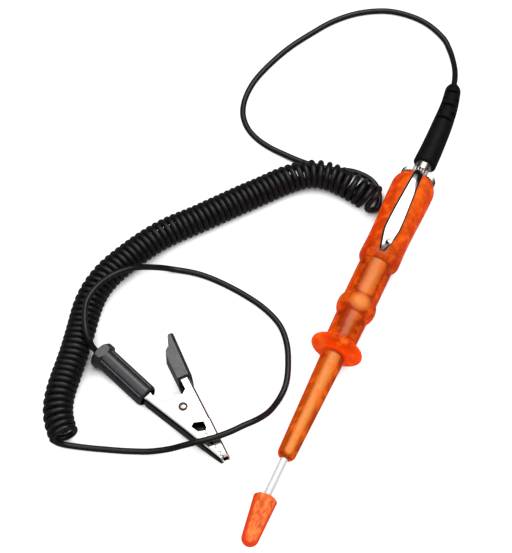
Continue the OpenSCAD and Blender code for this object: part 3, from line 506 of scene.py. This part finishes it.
leaf_start, leaf_stop, widest_at, lip_at = 2.7, 38.3, 0.72, 37
root_w, leaf_w, end_w, edge_w, crown = 3.5, 5.7, 2.6, 0.62, 0.05
slump_deep, slump_from, slump_long = 0.45, 4, 9
leaf_roll = math.radians(-5)
dimple_at, dimple_aside, dimple_deep, dimple_r = 34, -0.8, 0.5, 0.6
bow = [(8.5 - 6.3 * math.cos(a), 6.9 + 2 * math.sin(a)) for a in np.linspace(0, math.pi / 2, 24)]
fall = [(8.5 + 25.8 * t, 8.9 - ease(t)) for t in np.linspace(0.02, 1, 50)]
lip = [(35, 7.9), (35.7, 7.9), (36.6, 7.98), (37.5, 8.14), (38.2, 8.28)]
leaf_line = np.array([(2.2, 6.4)] + bow + fall + lip)
rim = [(0.35, -0.13), (0.1, -0.25), (0, -0.33), (0.02, -0.40)]
deep_rim = [(0.42, -0.16), (0.12, -0.36), (0, -0.50), (0.02, -0.58)]
leaf = []
for i, (station, height) in enumerate(leaf_line):
    ahead = leaf_line[min(i + 1, len(leaf_line) - 1)] - leaf_line[max(i - 1, 0)]
    ahead /= np.linalg.norm(ahead)
    out = np.array((-ahead[1], ahead[0]))
    t = (station - leaf_start) / (leaf_stop - leaf_start)
    if t < widest_at:
        half = (root_w + (leaf_w - root_w) * ease(t / widest_at)) / 2
    else:
        half = (leaf_w - (leaf_w - end_w) * ease((t - widest_at) / (1 - widest_at))) / 2
    half *= 0.999 if station < lip_at else 1 - 0.25 * (station - lip_at) / 1.2
    flat = half - edge_w
    slump = slump_deep * (1 - ease((station - slump_from) / slump_long))
    section = [(flat * f, -crown * f * f - slump * max(0, -f) ** 1.5) for f in np.linspace(-1, 1, 15)]
    section = [(x - half, n - slump) for x, n in reversed(rim)] + section
    section += [(half - x, n) for x, n in deep_rim]
    under = [(y * 0.97, min(-0.44, n - 0.36)) for y, n in reversed(section)]
    ring = []
    for y, n in section + under:
        off = (station - dimple_at) ** 2 / 1.4 + (y - dimple_aside) ** 2
        hollow = dimple_deep * math.exp(-off / (2 * dimple_r ** 2))
        at_s, at_up = np.array((station, height)) + out * (n - hollow)
        c, d = math.cos(leaf_roll), math.sin(leaf_roll)
        ring.append((at_up * c - y * d, at_up * d + y * c, at_s))
    leaf += list(laid(ring))
m = len(ring)
leaf_faces = loft([leaf[i * m:(i + 1) * m] for i in range(len(leaf_line))])
washer_edge = ((5.1, 2.2), (6.12, 2.2), (6.2, 2.28), (6.2, 2.62), (6.12, 2.7), (5.1, 2.7))
washer = [list(laid([(r * math.cos(a), r * math.sin(a), z) for r, z in washer_edge]))
          for a in np.linspace(0, 2 * math.pi, 73)[:-1]]
washer_faces = [tuple(len(leaf) + v for v in quad) for quad in loft(washer, closed=True)]
chrome = plated("clip_chrome", (0.93, 0.93, 0.93), (0.88, 0.88, 0.88), rough=0.045)
piece("pocket_clip_leaf", leaf + sum(washer, []), leaf_faces + washer_faces, chrome, replaces=["pocket_clip"],
      sharp=50)

# Strain relief
# Black rubber boot, moulded over the ferrule and the lead, with bend slots from two sides in turn
rubber = black_vinyl("boot_rubber", (0.003, 0.003, 0.004), (0.006, 0.006, 0.007), 0.45, grain=0.3, gloss=0.12)
boot_axis, far = spread(curve([(75.9, 0, 7.565), (83.735, 0, 7.4), (94, 0.3, 7.3), (104, 1.1, 6.7),
                               (113, 2.8, 5.6)]), 0.1)
boot_dir = np.gradient(boot_axis, far, axis=0)
boot_len = far[-1]
mouth_r, middle_r, tail_r = 4.2, 3.7, 2.75
web_half, slot_half, end_from, around = 1.75, 0.52, 0.93, 96
slot_at = [(0.53 + 0.085 * k) * boot_len for k in range(5)]
stops = set(np.linspace(0, boot_len, 48)) | {0.15 * k for k in range(1, 9)}
stops |= {boot_len * (1 - (1 - end_from) * (1 - k / 10)) for k in range(11)}
for x in slot_at:
    stops |= {x + d for d in (-0.8, -0.64, -0.57, -0.54, -0.5, 0, 0.5, 0.54, 0.57, 0.64, 0.8)}
boot_rings = []
for x in sorted(stops):
    t = x / boot_len
    r = np.interp(t, (0, 0.5, 1), (mouth_r, middle_r, tail_r))
    r *= math.cos(math.radians(50 * (t - end_from) / (1 - end_from))) if t > end_from else 1
    r -= 0.35 * math.exp(-x / 0.2) + 0.1 * math.exp(-((x - 1.05) / 0.16) ** 2)
    c = np.array([np.interp(x, far, boot_axis[:, k]) for k in range(3)])
    u = np.array([np.interp(x, far, boot_dir[:, k]) for k in range(3)])
    u /= np.linalg.norm(u)
    right = np.cross(u, (0, 0, 1))
    right /= np.linalg.norm(right)
    over = np.cross(right, u)
    nearest = min(range(5), key=lambda k: abs(x - slot_at[k]))
    slotted = abs(x - slot_at[nearest]) < slot_half
    boot_rings.append([])
    for a in np.linspace(0, 2 * math.pi, around + 1)[:-1]:
        across = abs(math.cos(a) if nearest % 2 else math.sin(a))
        q = min(r, web_half / max(across, 1e-6)) if slotted else r
        boot_rings[-1].append(c + q * (right * math.cos(a) + over * math.sin(a)))
piece("boot", sum(boot_rings, []), [face[::-1] for face in loft(boot_rings)], rubber,
      replaces=["strain_relief"])

# Springs
# Wound from bright spring wire: one between the end cap and the lamp's holder, one from the lamp's contact
# to the needle's head, both with closed end turns, and a torsion spring round the clip's rivet
steel = plated("spring_steel", (0.90, 0.90, 0.90), (0.80, 0.80, 0.80), rough=0.18)
wire_r = 0.34


def shape_nodes(name, *inputs):
    """A Geometry Nodes tree with a mesh input and the named inputs, and the values of all of them."""
    tree = bpy.data.node_groups.new(name, "GeometryNodeTree")
    tree.interface.new_socket("Geometry", in_out="INPUT", socket_type="NodeSocketGeometry")
    tree.interface.new_socket("Geometry", in_out="OUTPUT", socket_type="NodeSocketGeometry")
    for label, kind in inputs:
        tree.interface.new_socket(label, in_out="INPUT", socket_type="NodeSocket" + kind)
    given = tree.nodes.new("NodeGroupInput")
    return tree, [Val(tree, socket) for socket in given.outputs[:-1]]


def finish_shape(tree, shape, material):
    """Ends the tree in Realize Instances and Set Material."""
    real = node(tree, "GeometryNodeRealizeInstances", {}, shape)
    done = node(tree, "GeometryNodeSetMaterial", {}, real, Material=material)
    tree.links.new(done.socket, tree.nodes.new("NodeGroupOutput").inputs[0])


def grown(name, tree, base, sizes, replaces, body="root"):
    """The plain mesh that the tree makes from a base mesh and its named sizes. It rides on its body, or on
    none when no body is given."""
    maker = bpy.data.objects.new(name + "_maker", base)
    scene.collection.objects.link(maker)
    modifier = maker.modifiers.new(tree.name, "NODES")
    modifier.node_group = tree
    for item in tree.interface.items_tree:
        if item.in_out == "INPUT" and item.name in sizes:
            modifier[item.identifier] = sizes[item.name]
    evaluated = maker.evaluated_get(bpy.context.evaluated_depsgraph_get())
    mesh = bpy.data.meshes.new_from_object(evaluated)
    bpy.data.objects.remove(maker)
    mesh.name = name
    o = bpy.data.objects.new(name, mesh)
    scene.collection.objects.link(o)
    if body:
        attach(o, body)
    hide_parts(*replaces)
    return o


wound, (_, coil_radius, wire, length, turns, material) = shape_nodes(
    "wound_spring", ("Radius", "Float"), ("Wire", "Float"), ("Length", "Float"), ("Turns", "Float"),
    ("Material", "Material"))
helix = node(wound, "GeometryNodeCurveSpiral", {}, Resolution=40, Rotations=turns, Start_Radius=coil_radius,
             End_Radius=coil_radius, Height=0.0)
t = node(wound, "GeometryNodeSplineParameter", out="Factor")
dead = 1.2 / turns
closed_turn = 2.64 * wire
rise = ((t - dead) / (1 - 2 * dead)).at_least(0).at_most(1) * (length - 2 * wire - 2 * closed_turn)
height = wire + t.at_most(dead) / dead * closed_turn + rise + (t - 1 + dead).at_least(0) / dead * closed_turn
offset = node(wound, "ShaderNodeCombineXYZ", {}, Z=height)
helix = node(wound, "GeometryNodeSetPosition", {}, helix, Offset=offset)
profile = node(wound, "GeometryNodeCurvePrimitiveCircle", {}, Resolution=10, Radius=wire)
spring = node(wound, "GeometryNodeCurveToMesh", {}, helix, profile, Fill_Caps=True)
finish_shape(wound, node(wound, "GeometryNodeSetShadeSmooth", {}, spring), material)

for name, node_name, r, start, end, turns in (("spring_behind_lamp", "lamp_spring", 4.15, 11.2, 25.0, 6.0),
                                              ("spring_on_needle", "contact_spring", 1.75, 34.2, 65.8, 11.0)):
    o = grown(name, wound, bpy.data.meshes.new(name), {
        "Radius": r * MM, "Wire": wire_r * MM, "Length": (end - start) * MM, "Turns": turns,
        "Material": steel.material}, replaces=[node_name])
    o.data.transform(tester @ Matrix.Translation((0, 0, start * MM)))

path_wire, (path, wire, material) = shape_nodes(
    "wire_along_path", ("Wire", "Float"), ("Material", "Material"))
bent = node(path_wire, "GeometryNodeMeshToCurve", {}, path)
profile = node(path_wire, "GeometryNodeCurvePrimitiveCircle", {}, Resolution=10, Radius=wire)
bent = node(path_wire, "GeometryNodeCurveToMesh", {}, bent, profile, Fill_Caps=True)
finish_shape(path_wire, node(path_wire, "GeometryNodeSetShadeSmooth", {}, bent), material)

clip_turn, jaw_turn = math.radians(-106.3), math.radians(-24.5)
clip_frame = Matrix.Translation((-0.0448, 0.0391, 0.004)) @ Matrix.Rotation(clip_turn, 4, "Z")


def own(x, y):
    """A point of the moving jaw's own drawing, in the clip's plane."""
    c, d = math.cos(jaw_turn), math.sin(jaw_turn)
    return x * c - y * d, x * d + y * c


leg_z, leg_gap, winding_r, windings = 1.3685, 1.0, 2, 3.4
spring_path = [(-9.5, -6.3 + leg_gap, -leg_z)]
for t in np.linspace(0, 1, 91):
    a = math.radians(175 - 360 * windings * t)
    spring_path.append((winding_r * math.cos(a), winding_r * math.sin(a), (2 * t - 1) * leg_z))
spring_path.append((*own(-8.4, 6.7 - leg_gap), leg_z))
path_mesh = bpy.data.meshes.new("spring_path")
path_mesh.from_pydata([clip_frame @ (Vector(p) * MM) for p in spring_path],
                      [(k, k + 1) for k in range(len(spring_path) - 1)], [])
torsion = grown("spring_in_clip", path_wire, path_mesh, {"Wire": wire_r * MM, "Material": steel.material},
                replaces=["clip_spring"], body=None)
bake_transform(torsion)

# Lamp
# Clear glass bulb, cemented in the brass base that the lamp's holder grips
glass = Finish("lamp_glass", Base_Color=(0.98, 0.98, 0.96), Roughness=0.02, IOR=1.5, Transmission_Weight=1.0)
glass.link(Roughness=0.01 + 0.04 * glass.noise(2, 2))
paint(glass, nodes["bulb_glass"])

# Needle
# Ground and plated steel, pressed against its spring by the work
needle = plated("needle_chrome", (0.98, 0.98, 0.98), (0.93, 0.93, 0.94), rough=0.5, metal=0.5)
paint(needle, nodes["probe_needle"])

# Tip cap
# Soft orange vinyl, dip-moulded, pushed on the needle; cloudy and mottled, with painted shade that makes it
# deeper in colour at its sides and keeps the mottling to its top
cap = Finish("cap_vinyl", Base_Color=(1.0, 0.16, 0.012), Roughness=0.4, Transmission_Weight=0.15, IOR=1.45,
             Specular_IOR_Level=0.15, Subsurface_Weight=0.1, Subsurface_Radius=(0.004, 0.0012, 0.0004),
             Subsurface_Scale=1.0)
blotch = cap.noise(1.1, 4, place=cap.place(scale=(1, 1, 0.5), frame=tester))
# Painted light and shade: the mottled colour only on top, a deep dark orange at the sides
painted_lit_top = above_axis(cap, cap.place(frame=tester)).step(1.9, 2.9)
mottled = cap.ramp(blotch, (0.36, (0.60, 0.09, 0.015)), (0.48, (0.90, 0.15, 0.03)), (0.66, (1.0, 0.28, 0.05)))
cap.link(Base_Color=cap.between(painted_lit_top, (0.80, 0.045, 0.001), mottled),
         Roughness=0.30 + 0.25 * cap.noise(0.8, 3))
cap.bump(blotch, 0.10)
paint(cap, nodes["tip_cap"])

# Crocodile clip
# Two jaws pressed from nickel-plated sheet, riveted together, with vinyl sleeves pushed on their handles;
# the plating is warm white, with painted shade from brown to near black in the seams and crevices, and a
# painted dark reflection along the fixed jaw's back
def pressed_nickel(name, painted_dark_reflection=None, dome=0):
    """Warm nickel, with painted shade from brown to near black where it lies close to its neighbour. The
    second argument is the share painted near black as a dark reflection; dome is how far the relief falls
    away from the rivet's axis."""
    f = Finish(name, Metallic=1.0, Base_Color=(0.95, 0.92, 0.86), Roughness=0.2)
    openness_for_painted_shade = node(f.tree, "ShaderNodeAmbientOcclusion", {"samples": 12}, Distance=0.008, out="AO")
    # Painted shade: the colour runs from near black through brown to nickel as the surface gets less closed
    # in
    colour = f.ramp(openness_for_painted_shade, (0.12, (0.02, 0.008, 0.004)), (0.42, (0.35, 0.22, 0.13)),
                    (0.66, (0.95, 0.92, 0.86)))
    if painted_dark_reflection:
        # Painted dark reflection: the masked share turns near black
        colour = f.between(painted_dark_reflection(f), colour, (0.012, 0.011, 0.010))
    f.link(Base_Color=colour, Roughness=0.14 + 0.12 * f.noise(1.4, 4))
    place = f.place(frame=clip_frame)
    across = f.axis(place, 0) * f.axis(place, 0) + f.axis(place, 1) * f.axis(place, 1)
    return f.bump(0.02 * f.noise(0.3, 2) + 0.01 * f.noise(3, 2) - dome * across, 0.6)


def painted_dark_web(f):
    """1 on the outer face of the fixed jaw's web, where a dark reflection is painted."""
    return 1 - f.axis(f.place(frame=clip_frame), 1).step(-6.15, -5.75)


paint(pressed_nickel("jaw_nickel"), nodes["clip_jaw_moving"])
paint(pressed_nickel("fixed_jaw_nickel", painted_dark_web), nodes["clip_jaw_fixed"])
paint(pressed_nickel("rivet_nickel", dome=0.35), nodes["clip_rivet"])
paint(plated("copper", (0.85, 0.48, 0.30), (0.6, 0.3, 0.18), rough=0.3), nodes["clip_conductor"])
paint(black_vinyl("sleeve_vinyl", (0.010, 0.010, 0.012), (0.024, 0.024, 0.028), 0.25, grain=0.4, gloss=1.0),
      nodes["clip_sleeve_cord"], nodes["clip_sleeve_thumb"])
